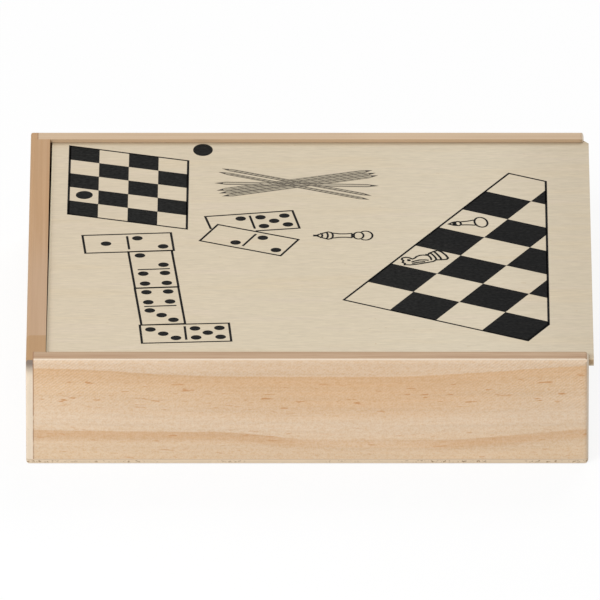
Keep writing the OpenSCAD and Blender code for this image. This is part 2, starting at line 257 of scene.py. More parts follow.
def banded_face(s, grain, shift):
    """Plain-sawn pine: a pale strip over an orange band, a pale heart and a low narrow band."""
    length = s.x if grain == "X" else s.y
    x = s.sub(length, shift)
    wander = s.mul(s.sub(s.noise((55, 55, 9), detail=2, shift=shift), 0.5), 1.3)
    upper = ring_height(s, x, [(3.4, -20.0, -100.0), (4.7, 28.0, 112.0)], wander)
    lower = ring_height(s, x, [(3.0, 5.0, -35.0), (0.9, -31.0, -100.0), (4.5, 48.0, 108.0)], wander)
    full = BAND_TONES[-1][0]
    colour = s.ramp(s.math("DIVIDE", upper, full), [(at / full, tone) for at, tone in BAND_TONES])
    warm = s.both(s.within(upper, 19.0, 33.4, soft=4.0), s.step(x, -60.0, 20.0), s.step(x, 85.0, 30.0))
    colour = s.mix(s.mul(warm, 0.45), colour, rgb(213, 173, 132))
    dull = s.both(s.within(x, -30.0, 45.0, soft=20.0), s.step(upper, 33.8, 34.8))
    colour = s.mix(s.mul(dull, 0.25), colour, rgb(205, 172, 136))
    faded = s.sub(0.85, s.mul(s.within(x, -2.0, 44.0, soft=14.0), 0.5))
    faded = s.sub(faded, s.mul(s.step(x, 55.0, 85.0), 0.12))
    low_band = s.both(s.step(lower, 9.7, 9.1), s.step(lower, 4.4, 7.4), faded)
    colour = s.mix(low_band, colour, rgb(213, 176, 138))
    along_rings = s.join(s.x, s.y, upper)
    streaks = s.noise((45, 45, 0.9), detail=3, roughness=0.6, shift=17, place=along_rings)
    colour = s.shade(colour, streaks, 0.05)
    rays = s.noise((5.0, 5.0, 0.95), detail=1, roughness=0.4, shift=11, place=along_rings)
    where = s.either(s.within(upper, 20.0, 31.0, soft=2.0), s.mul(s.within(s.z, 2.0, 14.0, soft=1.0), 0.6))
    patches = s.step(s.noise((14, 14, 6), detail=0, shift=5), 0.32, 0.5)
    colour = s.mix(s.both(s.step(rays, 0.66, 0.74), where, patches, 0.8), colour, FLECK)
    ends = s.either(s.step(x, -35.0, -85.0), s.step(x, 35.0, 80.0))
    wave = s.math("SINE", s.mul(s.sub(s.mul(length, 0.65), s.mul(s.z, 0.88)), 2 * math.pi))
    strength = s.mul(s.add(s.mul(ends, 0.6), 0.4), s.noise((8, 8, 5), detail=1, shift=2))
    ripple = s.both(wave, strength, s.step(s.z, 14.0, 30.0))
    colour = s.shade(colour, s.add(s.mul(ripple, 0.5), 0.5), 0.085)
    return mottled(s, colour)


def end_grain(s):
    """Sawn end of a board: pale, with faint rings and short pores, and grey at the left corners' tops."""
    seen_rings = s.noise((1.6, 5, 14), detail=2, shift=9)
    colour = s.shade(rgb(234, 217, 195), seen_rings, 0.09)
    pores = s.step(s.noise((0.6, 0.6, 0.7), detail=2, roughness=0.7), 0.56, 0.76)
    colour = s.mix(s.mul(pores, 0.2), colour, rgb(160, 140, 118))
    high_up = s.step(s.add(s.z, s.noise((3, 3, 3), detail=1)), 34.5, 40.0)
    return s.mix(s.both(high_up, s.step(s.x, 0.0, -10.0), 0.95), colour, rgb(128, 114, 104))


def rim_timber(s, grain, tones, streaked, shift):
    """The sanded rim between its two tones. streaked is the strength of its long brown streaks."""
    colour = s.mix(s.step(s.noise(along(grain, 130, 1.6), detail=2, shift=shift + 4), 0.3, 0.7), *tones)
    streak = s.step(s.noise(along(grain, 18, 0.6), detail=2, roughness=0.6, shift=shift + 9), 0.55, 0.7)
    return s.mix(s.mul(streak, streaked), colour, rgb(160, 118, 88))


def pine(name, grain, rim, streaked=0.1, shift=0.0, splice=None):
    """Bare pine: its face, its rim, its inner side and its end grain each have their own tone; the lips carry
    painted shade and the long walls' rounded outer top edge a painted highlight.
    """
    s = Shader(name)
    colour = banded_face(s, grain, shift)
    outward = s.mul(s.y, s.ny) if grain == "X" else s.mul(s.x, s.nx)
    # The inner side is darker above the lid: painted shade on the lips' inner faces
    under_lid = s.step(s.z, 38.9, 38.5)
    inner_tone_with_lip_shade = s.mix(under_lid, rgb(198, 171, 140), rgb(205, 176, 143))
    colour = s.mix(s.step(outward, 0.0, -20.0), colour, inner_tone_with_lip_shade)
    top = s.step(s.nz, 0.25, 0.45)
    if grain == "X":
        top = s.mul(top, s.sub(1.0, s.both(s.step(outward, 5.0, 12.0), s.step(s.nz, 0.985, 0.965))))
    colour = s.mix(top, colour, rim_timber(s, grain, rim, streaked, shift))
    if grain == "Y":
        colour = s.mix(s.both(top, s.step(s.y, 12.0, 40.0), 0.35), colour, rgb(192, 153, 113))
        colour = s.mix(s.both(top, s.step(s.y, 20.0, -30.0), 0.5), colour, rgb(193, 164, 138))
    else:
        # Painted highlight: a pale band on the rounded outer top edge, where light would catch it
        painted_highlight = s.both(s.within(s.nz, 0.76, 0.97, soft=0.03), s.step(outward, 10.0, 20.0))
        colour = s.mix(s.mul(painted_highlight, 0.7), colour, EDGE_HIGHLIGHT)
        brink = abs(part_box("front_wall")[1].y) / MM
        # Painted shadow: a thin dark line along the front rail's inner top edge, where the lip shades the lid
        lip_shadow_line = s.both(s.within(s.y, -brink - 0.65, -brink + 1.0, soft=0.25), s.step(s.z, 39.0, 40.0))
        colour = s.mix(s.mul(lip_shadow_line, 0.5), colour, LIP_SHADOW_COLOUR)
    if splice is not None:
        beyond, tone = splice
        strength = s.add(s.mul(top, 0.45), 0.25)
        colour = s.mix(s.mul(s.step(s.y, beyond + 0.3, beyond - 0.3), strength), colour, tone)
    colour, thin = grained(s, colour, grain, fine=0.6)
    across = s.nx if grain == "X" else s.ny
    colour = s.mix(s.facing(across, 0.6), colour, end_grain(s))
    colour = s.mix(wall_joint(s), colour, JOINT_LINE)
    return s.finish(colour, thin, roughness=0.68, specular=0.12, depth=0.03)


def wall_joint(s):
    """The thin broken line, outside and on the rim, where the left wall covers the ends of the long walls."""
    low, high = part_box("front_wall")
    line, inner = low.x / MM, abs(high.y) / MM
    beyond = s.step(s.math("ABSOLUTE", s.y), inner - 0.1, inner + 0.1)
    waver = s.mul(s.sub(s.noise((2, 2, 6), detail=1, shift=1), 0.5), 0.2)
    broken = s.step(s.noise((1.8, 1.8, 3.2), detail=1, shift=21), 0.3, 0.5)
    strength = s.add(s.mul(broken, 0.45), 0.3)
    return s.both(beyond, strength, s.within(s.add(s.x, waver), line - 0.2, line + 0.2, soft=0.1))


def case_timber():
    front_rim = (rgb(182, 151, 122), rgb(196, 167, 138))
    back_rim = (rgb(205, 178, 148), rgb(211, 186, 157))
    end_rim = (rgb(185, 148, 111), rgb(195, 160, 125))
    splice = (-78.8, rgb(178, 140, 98))
    return {
        "front_wall": pine("pine_front", "X", front_rim, streaked=0.45),
        "back_wall": pine("pine_back", "X", back_rim, shift=31.0),
        "end_wall": pine("pine_end", "Y", end_rim, shift=-24.0, splice=splice),
        "low_end_wall": pine("pine_low", "Y", end_rim, shift=52.0),
    }


# Plywood

def plies(s, low, thick, veneer):
    """1 on the middle ply of a sheet whose underside is at low, 0 on its two face veneers."""
    return s.within(s.z, low + veneer, low + thick - veneer, soft=0.06)


def sheet_edge(s):
    return s.step(s.math("ABSOLUTE", s.nz), 0.6, 0.3)


# How far the lid's left edge is out of square
LID_SKEW = 0.7
# Where the veneer's slow change of tone starts, and its length
TONE_START = -95.0
TONE_LENGTH = 195.0


def lid_plywood():
    """Pale, even veneer with long faint streaks and painted shadow along the lips; its sawn edges show the
    plies.
    """
    s = Shader("lid_plywood")
    left_to_right = s.math("DIVIDE", s.sub(s.x, TONE_START), TONE_LENGTH)
    colour = s.ramp(left_to_right, [(0.0, rgb(213, 198, 173)), (0.5, rgb(213, 199, 174)),
                                    (0.8, rgb(215, 202, 178)), (1.0, rgb(206, 192, 168))])
    warm = s.noise((70, 9, 70), detail=2, roughness=0.5, shift=6)
    colour = s.mix(s.mul(s.step(warm, 0.5, 0.72), 0.26), colour, rgb(214, 194, 160))
    cool = s.noise((50, 5, 50), detail=2, shift=15)
    colour = s.mix(s.mul(s.step(cool, 0.52, 0.75), 0.24), colour, rgb(217, 200, 183))
    thin = s.noise((4.5, 0.55, 4.5), detail=2, roughness=0.6)
    lines = s.noise((22, 1.5, 22), detail=2, roughness=0.7, shift=19)
    colour = s.shade(s.shade(colour, thin, 0.17), lines, 0.05)
    specks = s.step(s.noise((1.8, 0.9, 1.8), detail=0, shift=27), 0.84, 0.9)
    colour = s.mix(s.mul(specks, 0.45), colour, rgb(186, 156, 112))
    low, high = (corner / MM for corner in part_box("lid"))
    cut_edge = s.add(s.mul(s.math("DIVIDE", s.sub(s.y, low.y), high.y - low.y), LID_SKEW), low.x)
    colour = s.mix(s.mul(s.step(s.sub(s.x, cut_edge), 0.75, 0.35), 0.7), colour, rgb(232, 221, 192))
    # Painted shadow: the veneer darkens in a soft band along the back and front lips, where they shade it
    shadow_by_the_lip = s.either(s.step(s.y, high.y - 6.0, high.y - 1.5), s.step(s.y, low.y + 5.2, low.y + 1.6))
    colour = s.mix(s.mul(shadow_by_the_lip, 0.4), colour, rgb(176, 152, 118))
    core = plies(s, low.z, high.z - low.z, 0.7)
    edge = s.mix(core, rgb(221, 203, 174), rgb(199, 172, 138))
    pores = s.noise((0.9, 0.9, 0.3), detail=2, roughness=0.7, shift=2)
    edge = s.shade(edge, pores, 0.14)
    colour = s.mix(sheet_edge(s), colour, edge)
    return s.finish(colour, thin, roughness=0.62, specular=0.12, depth=0.02)


def base_plywood():
    """Three thin plies whose edge shows dark specks; plain veneer on the faces."""
    s = Shader("base_plywood")
    thin, broad, drift = fibre(s, "X", 0.5)
    colour = s.mix(s.step(broad, 0.3, 0.75), rgb(214, 192, 162), rgb(199, 172, 138))
    colour = s.shade(colour, thin, 0.06)
    colour = s.shade(colour, drift, 0.05)
    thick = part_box("base_panel")[1].z / MM
    core = plies(s, 0.0, thick, 0.5)
    edge = s.mix(core, rgb(226, 208, 184), rgb(222, 202, 175))
    clusters = s.step(s.noise((14, 14, 14), detail=1, shift=8), 0.4, 0.6)
    specks = s.step(s.noise((1.0, 1.0, 0.6), detail=1, roughness=0.6, shift=4), 0.54, 0.66)
    edge = s.mix(s.both(specks, clusters, core, 0.8), edge, rgb(142, 112, 80))
    edge = s.shade(edge, s.noise((5, 5, 0.6), detail=2, shift=1), 0.07)
    glue = s.within(s.z, thick - 0.22, thick + 0.05, soft=0.08)
    edge = s.mix(s.mul(glue, 0.6), edge, rgb(176, 144, 112))
    colour = s.mix(sheet_edge(s), colour, edge)
    return s.finish(colour, thin, roughness=0.7, specular=0.2, depth=0.03)


# Fittings and loose pieces

def divider_wood(name, grain):
    s = Shader(name)
    colour = s.mix(s.noise(along(grain, 120, 4), detail=2, shift=2), rgb(216, 190, 152), rgb(204, 173, 133))
    colour, thin = grained(s, colour, grain, 1.1)
    top = s.step(s.nz, 0.7, 0.95)
    colour = s.mix(s.mul(top, 0.35), colour, rgb(190, 160, 124))
    return s.finish(colour, thin, roughness=0.62, specular=0.22, depth=0.03)


def wire_steel():
    s = Shader("wire_steel")
    scratch = s.noise((0.15, 1.2, 0.4), detail=3, roughness=0.7)
    colour = s.mix(scratch, rgb(172, 173, 176), rgb(206, 207, 209))
    s.principled.inputs["Metallic"].default_value = 1.0
    return s.finish(colour, scratch, roughness=s.add(s.mul(scratch, 0.2), 0.28), specular=0.5, depth=0.01)


def tile_places():
    """Lowest corner, size and pitch of the tile stacks, in millimetres, read from the frame."""
    first_low, first_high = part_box("domino_0_0")
    second_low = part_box("domino_0_4")[0]
    size = (first_high - first_low) / MM
    return first_low / MM, size, (second_low.x - first_low.x) / MM


# No paint lies nearer to a tile's sides than this
PIP_MARGIN = 1.4


def tile_wood():
    """Satin beech tiles, each a little different in tone, with black paint in the pips and the bar."""
    s = Shader("tile_wood")
    low, size, pitch = tile_places()
    column = s.math("FLOOR", s.math("DIVIDE", s.sub(s.x, low.x - 0.1), pitch))
    level = s.math("FLOOR", s.math("DIVIDE", s.sub(s.z, low.z + 0.01), size.z))
    tile = s.node("TexWhiteNoise", s.join(column, level, 0.0), noise_dimensions="2D")
    colour = s.mix(tile.outputs["Value"], rgb(226, 196, 152), rgb(212, 176, 130))
    colour, thin = grained(s, colour, "Y", 1.3)
    pores = s.step(s.noise((0.35, 2.2, 0.35), detail=1, shift=6), 0.62, 0.72)
    colour = s.mix(s.mul(pores, 0.3), colour, rgb(170, 126, 84))
    colour = s.mix(s.mul(s.facing(s.ny, 0.8), 0.45), colour, rgb(186, 146, 104))
    across = s.sub(s.sub(s.x, low.x), s.mul(column, pitch))
    lengthways = s.sub(s.y, low.y)
    depth = s.sub(s.mul(s.add(level, 1.0), size.z), s.sub(s.z, low.z))
    inner = s.both(s.within(across, PIP_MARGIN, size.x - PIP_MARGIN, soft=0.02),
                   s.within(lengthways, PIP_MARGIN, size.y - PIP_MARGIN, soft=0.02))
    sunk = s.both(inner, s.step(depth, 0.02, 0.07), s.step(depth, 2.0, 1.5))
    paint = s.shade(rgb(38, 36, 35), s.noise((0.6, 0.6, 0.6), detail=2), 0.2)
    colour = s.mix(sunk, colour, paint)
    return s.finish(colour, thin, roughness=s.add(s.mul(sunk, -0.12), 0.44), specular=0.4, depth=0.015)


RED = rgb(186, 38, 34)
BLUE = rgb(30, 66, 148)
YELLOW = rgb(232, 178, 36)
GREEN = rgb(30, 116, 70)
BLACK = rgb(36, 34, 34)
# Painted bands of each kind of stick: from and to, in millimetres from the middle, and the paint
STICK_BANDS = {
    "sticks_20_points": [(start, start + 3.0, BLACK) for start in range(30, 67, 6)],
    "sticks_10_points": [(50.0, 55.0, YELLOW), (57.0, 62.0, RED), (64.0, 69.0, BLUE)],
    "sticks_5_points": [(52.0, 56.0, GREEN), (60.0, 69.0, RED)],
    "sticks_3_points": [(60.0, 64.0, RED), (65.0, 69.0, YELLOW)],
    "sticks_2_points": [(60.0, 69.0, BLUE)],
}


def stick_wood(name, bands):
    s = Shader("wood_" + name)
    colour = s.mix(s.noise((90, 3.1, 3.1), detail=1, shift=5), rgb(228, 200, 156), rgb(214, 180, 134))
    colour, thin = grained(s, colour, "X", 1.2, fine=0.3)
    reach = s.add(s.math("ABSOLUTE", s.x), s.mul(s.sub(s.noise((1.5, 1.5, 1.5), detail=1), 0.5), 0.5))
    for low, high, paint in bands:
        colour = s.mix(s.mul(s.within(reach, low, high, soft=0.12), 0.93), colour, s.shade(paint, thin, 0.15))
    point = s.step(reach, 78.0, 88.0)
    colour = s.mix(s.mul(point, 0.25), colour, rgb(188, 150, 108))
    return s.finish(colour, thin, roughness=0.42, specular=0.4, depth=0.012)


# Distance between the turning tool's marks
TOOL_STEP = 0.42


def turned_wood(name, pale, deep, pore, roughness, coat):
    """Turned and varnished wood, its grain upright and its tool marks running round."""
    s = Shader(name)
    broad = s.noise((3.2, 3.2, 60), detail=2, shift=4)
    colour = s.mix(s.step(broad, 0.3, 0.72), pale, deep)
    colour, thin = grained(s, colour, "Z", 1.3, fine=0.35)
    pores = s.step(s.noise((0.4, 0.4, 3.0), detail=1, shift=8), 0.62, 0.74)
    colour = s.mix(s.mul(pores, 0.35), colour, pore)
    turned = s.math("SINE", s.mul(s.z, 2 * math.pi / TOOL_STEP))
    marks = s.add(thin, s.mul(turned, 0.25))
    s.principled.inputs["Coat Weight"].default_value = coat
    s.principled.inputs["Coat Roughness"].default_value = 0.25
    return s.finish(colour, marks, roughness, specular=0.35, depth=0.012)


def ink_black():
    """Screen ink on veneer: nearly black, deeper to the right, a little worn where the grain stands proud."""
    s = Shader("ink_black")
    grain = s.noise((14, 0.45, 14), detail=3, roughness=0.6)
    speckle = s.noise((1.4, 0.8, 1.4), detail=1, roughness=0.6, shift=3)
    colour = s.mix(s.step(s.x, 20.0, 75.0), INK, INK_DEEP)
    colour = s.mix(s.step(grain, 0.5, 0.85), colour, INK_WORN)
    colour = s.shade(colour, speckle, 1.4)
    return s.finish(colour, grain, roughness=0.75, specular=0.03, depth=0.01)


def thin_ink(name, full, broken):
    """Ink so thin that the veneer shows through: full where it took, broken where the grain let it down."""
    s = Shader(name)
    grain = s.noise((14, 0.45, 14), detail=2)
    return s.finish(s.mix(grain, full, broken), grain, roughness=0.6, specular=0.15, depth=0.01)


def dress(name, material):
    """Gives a CAD node its material."""
    materials = nodes[name].data.materials
    materials.clear()
    materials.append(material)


def new_object(name, data):
    made = bpy.data.objects.new(name, data)
    bpy.context.scene.collection.objects.link(made)
    return made


def mesh_data(name, mesh):
    """The mesh data made of a bmesh, which is used up."""
    bmesh.ops.recalc_face_normals(mesh, faces=mesh.faces)
    data = bpy.data.meshes.new(name)
    mesh.to_mesh(data)
    mesh.free()
    return data


def new_piece(name, mesh, body, material):
    """The piece made of a bmesh, which is used up, riding on a body."""
    piece = new_object(name, mesh_data(name, mesh))
    piece.data.materials.append(material)
    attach(piece, body)
    return piece


def bridge(mesh, rings):
    """Faces from each closed ring of vertices to the next."""
    for low, high in zip(rings, rings[1:]):
        for k in range(len(low)):
            n = (k + 1) % len(low)
            mesh.faces.new((low[k], low[n], high[n], high[k]))


def loft(mesh, rows):
    """Faces between rings of points given in millimetres, with both ends closed."""
    rings = [[mesh.verts.new([MM * c for c in point]) for point in row] for row in rows]
    bridge(mesh, rings)
    mesh.faces.new(rings[0][::-1])
    mesh.faces.new(rings[-1])


# Knights: a carved head on a turned foot stands for each plain one of the CAD

# Places on the head are forward and up from the middle of the foot's collar. The front runs up the chest,
# round the jaw and the muzzle and over the ear
HEAD_FRONT = [(4.6, 0.0), (4.9, 1.8), (4.3, 3.6), (2.6, 5.8), (1.5, 7.6), (2.0, 9.2), (4.2, 8.5), (5.9, 8.8),
              (5.5, 9.7), (6.5, 10.2), (6.5, 11.3), (4.9, 13.7), (3.2, 16.0), (1.2, 17.4), (0.3, 19.2),
              (-1.2, 20.7), (-1.5, 18.6)]
# The mane's highest lock, how far back and down the others go, and the notch under each lock
MANE_TOP = (-2.8, 17.2)
MANE_BACK = 3.05
MANE_LOCKS = 6
LOCK_DROP = 2.5
NOTCH_AT = 0.68
NOTCH_IN = 0.8
NAPE = (-5.3, 0.0)
# The middle line that the head's sides round towards
HEAD_MIDDLE = [(-0.4, 0.0), (-1.6, 7.0), (-0.8, 12.4), (1.6, 12.6), (4.6, 10.8)]
# How a side rounds off: share of the way to the middle line, and share of half the thickness
SIDE_ROUND = [(0.0, 0.45), (0.06, 0.75), (0.18, 0.93), (0.45, 1.0)]
# Half the head's thickness, what it loses along the muzzle and up the ear, and where those two start
HEAD_HALF = 3.1
MUZZLE_TAPER = 0.17
EAR_TAPER = 0.22
JAW_UP = 7.0
EAR_UP = 15.0
# Eye, cheek and nostril: radius, and place outward, forward and up
HEAD_SWELLS = [(0.8, 2.3, 2.6, 14.0), (2.1, 1.2, 1.7, 11.8), (0.55, 1.7, 5.6, 10.9)]
# Size of the remeshed faces, and the angle in radians above which an edge stays sharp
CARVING = 0.3
SHARP = 0.7
# The foot's height and its radii: its rounded rim, the neck, the waist's curve and the collar's bead
FOOT_TOP = 5.0
RIM = 1.2
NECK = 4.65
WAIST = 2.87
COLLAR = 0.7


def head_outline():
    """Side view of the head: up the front, over the ear and down the locks of the mane."""
    outline = list(HEAD_FRONT)
    for lock in range(MANE_LOCKS):
        for place, inward in ((lock, 0.0), (lock + NOTCH_AT, NOTCH_IN)):
            curve = 1 - (1 - place / (MANE_LOCKS - 1)) ** 2
            outline.append((MANE_TOP[0] - MANE_BACK * curve + inward, MANE_TOP[1] - LOCK_DROP * place))
    return outline + [NAPE]


def nearest(line, point):
    """The point of a line through several points that lies nearest."""
    spots = []
    for a, b in zip(line, line[1:]):
        share = (point - a).dot(b - a) / (b - a).length_squared
        spots.append(a.lerp(b, min(1.0, max(0.0, share))))
    return min(spots, key=lambda spot: (spot - point).length)


def head_half(forward, up):
    """Half the head's thickness at a point of its side view: less towards the muzzle and the ear."""
    muzzle = MUZZLE_TAPER * max(0.0, forward) if up > JAW_UP else 0.0
    return HEAD_HALF - muzzle - EAR_TAPER * max(0.0, up - EAR_UP)


def carved_head():
    """A horse's head with eyes and cheeks, remeshed and smoothed as if cut by hand."""
    middle = [Vector(p) for p in HEAD_MIDDLE]
    outline = [Vector(p) for p in head_outline()]
    rows = []
    for share, across in [(share, -across) for share, across in SIDE_ROUND[::-1]] + SIDE_ROUND:
        spots = [p.lerp(nearest(middle, p), share) for p in outline]
        rows.append([(across * head_half(*p), spot.x, FOOT_TOP + spot.y) for p, spot in zip(outline, spots)])
    mesh = bmesh.new()
    loft(mesh, rows)
    for radius, out, forward, up in HEAD_SWELLS:
        for hand in (-1, 1):
            place = Matrix.Translation(MM * Vector((hand * out, forward, FOOT_TOP + up)))
            bmesh.ops.create_icosphere(mesh, subdivisions=3, radius=radius * MM, matrix=place)
    rough = new_object("rough_head", mesh_data("rough_head", mesh))
    remesh = rough.modifiers.new("remesh", "REMESH")
    remesh.mode = "VOXEL"
    remesh.voxel_size = CARVING * MM
    smooth = rough.modifiers.new("smooth", "SMOOTH")
    smooth.factor = 0.5
    smooth.iterations = 4
    made = bpy.data.meshes.new_from_object(rough.evaluated_get(bpy.context.evaluated_depsgraph_get()))
    bpy.data.objects.remove(rough)
    return made


def bow(centre, radius, start, end, steps=8):
    """Points of an arc, with its angles in degrees."""
    angles = [math.radians(start + (end - start) * k / steps) for k in range(steps + 1)]
    return [(centre[0] + radius * math.cos(a), centre[1] + radius * math.sin(a)) for a in angles]


def oval(centre, half_x, half_y, steps):
    """Points round an oval."""
    turns = [2 * math.pi * k / steps for k in range(steps)]
    return [(centre[0] + half_x * math.cos(a), centre[1] + half_y * math.sin(a)) for a in turns]


def turned_foot(radius):
    """The knight's foot, as in the CAD: a rounded rim, a waist that curves in, and a collar."""
    profile = bow((radius - RIM, RIM), RIM, -90, 90) + bow((NECK + WAIST, FOOT_TOP), WAIST, 245, 194)
    profile += bow((NECK + COLLAR, FOOT_TOP), COLLAR, -90, 90)
    mesh = bmesh.new()
    loft(mesh, [[(x, y, up) for x, y in oval((0.0, 0.0), out, out, steps=64)] for out, up in profile])
    return mesh_data("turned_foot", mesh)


def carve_knights(name, node, facing, material):
    """Both knights of a side, where the CAD has them. facing is 1 for those that look to the back."""
    low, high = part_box(node)
    reach = (high.y - low.y) / 2
    parts = [carved_head(), turned_foot(reach / MM)]
    mesh = bmesh.new()
    for x in (low.x + reach, high.x - reach):
        place = Matrix.Translation((x, low.y + reach, low.z)) @ Matrix.Diagonal((facing, facing, 1.0, 1.0))
        for part in parts:
            placed = part.copy()
            placed.transform(place)
            mesh.from_mesh(placed)
    for face in mesh.faces:
        face.smooth = True
    for edge in mesh.edges:
        edge.smooth = edge.calc_face_angle(0.0) < SHARP
    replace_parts(new_piece(name, mesh, "chessmen", material), node)


def dress_frame():
    for name, material in case_timber().items():
        dress(name, material)
    dress("base_panel", base_plywood())
    dress("lid", lid_plywood())
    dress("base_brads", wire_steel())
    long_divider = divider_wood("divider_wood_long", "X")
    dress("front_divider", long_divider)
    dress("back_divider", long_divider)
    dress("cross_divider", divider_wood("divider_wood_cross", "Y"))
    tiles = tile_wood()
    light = turned_wood("light_wood", rgb(224, 193, 146), rgb(206, 168, 117), rgb(158, 112, 70),
                        roughness=0.42, coat=0.15)
    dark = turned_wood("dark_wood", rgb(88, 52, 34), rgb(58, 33, 22), rgb(24, 14, 10),
                       roughness=0.38, coat=0.25)
    for name in nodes:
        if name.startswith("domino_"):
            dress(name, tiles)
        elif name.startswith("sticks_"):
            dress(name, stick_wood(name, STICK_BANDS[name]))
        elif "light" in name:
            dress(name, light)
        elif "dark" in name:
            dress(name, dark)
    carve_knights("carved_knights_light", "light_knight", 1, light)
    carve_knights("carved_knights_dark", "dark_knight", -1, dark)


# Printing on the lid: every figure is a thin closed prism that stands on the veneer

# Depth of the print in the face and height of ink and tint over it
INK_SUNK = 0.01
INK_HIGH = 0.04
TINT_HIGH = 0.02
# What one figure stands above the last where several cross
LAYER = 0.003
# Widths of the print's lines
LINE = 0.82
THIN_LINE = 0.7
# The longest corner of a line is its width over this
MITRE = 0.35


class Print:
    """Printed figures of one piece, drawn in millimetres on a level face."""

    def __init__(self, name, face, up=1.0, high=INK_HIGH):
        self.name = name
        self.low = face - up * INK_SUNK
        self.high = face + up * high
        self.mesh = bmesh.new()

    def lift(self, amount):
        """Raises the top of all that is drawn from here on."""
        self.high += amount

    def prism(self, outline):
        """A filled figure; its outline runs either way."""
        area = sum(a[0] * b[1] - b[0] * a[1] for a, b in zip(outline, outline[1:] + outline[:1]))
        if area < 0:
            outline = outline[::-1]
        loft(self.mesh, [[(x, y, z) for x, y in outline] for z in sorted((self.low, self.high))])

    def path(self, points, width=LINE, closed=False):
        """A line of even width along points, with mitred corners."""
        if closed:
            points = [points[-1]] + list(points) + [points[0]]
        spots = [Vector(p) for p in points]
        left, right = [], []
        for k, spot in enumerate(spots):
            before = (spot - spots[k - 1]).normalized() if k > 0 else None
            after = (spots[k + 1] - spot).normalized() if k < len(spots) - 1 else None
            ahead = ((before or after) + (after or before)).normalized()
            side = Vector((-ahead.y, ahead.x))
            reach = width / 2 / max(MITRE, ahead.dot(after or before))
            left.append(spot + side * reach)
            right.append(spot - side * reach)
        if closed:
            self.ring(left[1:-1], right[1:-1])
        else:
            self.prism(left + right[::-1])

    def ring(self, outer, inner):
        """A closed line between two outlines with as many points."""
        corners = ((outer, self.low), (outer, self.high), (inner, self.high), (inner, self.low))
        rings = [[self.mesh.verts.new((x * MM, y * MM, z * MM)) for x, y in edge] for edge, z in corners]
        bridge(self.mesh, rings + rings[:1])

    def disc(self, centre, radius, across=None):
        """A filled round, or an oval if it measures another radius across."""
        self.prism(oval(centre, across or radius, radius, steps=40))

    def done(self, ink):
        """Makes the piece, riding on the lid."""
        new_piece(self.name, self.mesh, "lid", ink)


def turn(angle):
    """Unit vectors along and to the right of a direction, given in degrees."""
    a = math.radians(angle)
    return Vector((math.cos(a), math.sin(a))), Vector((math.sin(a), -math.cos(a)))


def keep_left(outline, limit):
    """The part of an outline whose X is below limit."""
    kept = []
    for a, b in zip(outline, outline[1:] + outline[:1]):
        if a[0] <= limit:
            kept.append(a)
        if (a[0] <= limit) != (b[0] <= limit):
            t = (limit - a[0]) / (b[0] - a[0])
            kept.append((limit, a[1] + t * (b[1] - a[1])))
    return kept


def four_sided(corner, across, down):
    """Outline of a figure with two pairs of parallel sides."""
    return [corner, corner + across, corner + across + down, corner + down]


def grid_cells(corner, across, down, columns, rows):
    """Outline of each cell of a skewed grid, with its column and row."""
    for i in range(columns):
        for j in range(rows):
            yield i, j, four_sided(corner + i * across + j * down, across, down)


def print_small_board(face, ink):
    board = Print("print_small_board", face)
    corner, across, down = Vector((-85.7, 90.4)), Vector((10.68, -3.3)), Vector((-0.06, -12.05))
    columns, rows = 4, 5
    for i, j, cell in grid_cells(corner, across, down, columns, rows):
        if (i + j) % 2 == 0:
            board.prism(cell)
    board.path(four_sided(corner, columns * across, rows * down), closed=True)
    board.done(ink)


def print_counters(face, ink):
    """A counter on the small board and one beside it, both a little narrow."""
    counters = Print("print_counters", face)
    counters.disc((-80.3, 46.9), 3.5, across=3.05)
    counters.disc((-37.7, 86.8), 5.3, across=3.55)
    counters.done(ink)


# A drawn tile's length and width, and its pips' radius
DRAWN_TILE = (31.8, 15.6)
PIP_RADIUS = 1.9
# Shares of a tile's width and length: the ends of its middle bar, and the places of its pips
TILE_BAR = (0.12, 0.86)
PIP_COLUMNS = (0.113, 0.25, 0.387, 0.613, 0.75, 0.887)
PIP_ROWS = (0.25, 0.5, 0.75)
# Each drawn tile: its corner, the direction of its long side, and its pips as (column, row)
DRAWN_TILES = [
    ((-80.7, 11.3), 4.3, [(1, 1), (3, 0), (5, 2)]),
    ((-48.6, -1.7), -85.4, [(0, 2), (2, 0), (3, 0), (3, 2), (5, 0), (5, 2)]),
    ((-46.1, -33.7), -85.4, [(0, 0), (0, 2), (2, 0), (2, 2), (3, 2), (4, 1), (5, 0)]),
    ((-59.7, -66.8), 3.3, [(0, 0), (1, 1), (2, 2), (3, 0), (5, 0), (4, 1), (3, 2), (5, 2)]),
    ((-32.1, 20.9), -24.4, [(2, 2), (3, 0), (5, 2)]),
]
# The tile that lies under another: only the part that shows is drawn
LOWER_TILE = ((-36.7, 27.9), 9.5, [(2, 0), (3, 0), (5, 0), (4, 1), (3, 2), (5, 2)])
LOWER_TILE_ENDS = ((-34.6, 17.0), (-18.5, 15.3))


def draw_tile(drawing, corner, angle, pips, ends=None):
    """A tile; ends are where its outline stops if another tile covers the last side."""
    ahead, side = (way * size for way, size in zip(turn(angle), DRAWN_TILE))
    corner = Vector(corner)
    corners = four_sided(corner, ahead, side)
    if ends:
        drawing.path([ends[0], *corners[:3], ends[1]])
    else:
        drawing.path(corners, closed=True)
    drawing.path([corner + ahead / 2 + side * share for share in TILE_BAR])
    for column, row in pips:
        drawing.disc(corner + ahead * PIP_COLUMNS[column] + side * PIP_ROWS[row], PIP_RADIUS)


def print_tiles(face, ink):
    drawing = Print("print_tiles", face)
    for tile in DRAWN_TILES:
        draw_tile(drawing, *tile)
    draw_tile(drawing, *LOWER_TILE, ends=LOWER_TILE_ENDS)
    drawing.done(ink)


# Ends of each drawn stick, and the slant of its stripes
DRAWN_STICKS = [((-32.4, 50.9), (23.2, 68.6), -1), ((-31.5, 48.5), (24.4, 66.3), -1),
                ((-30.4, 45.9), (25.2, 64.1), -1), ((-32.6, 57.4), (25.0, 55.0), 0),
                ((-30.4, 70.1), (22.8, 46.4), 1), ((-31.6, 67.0), (22.0, 42.9), 1)]
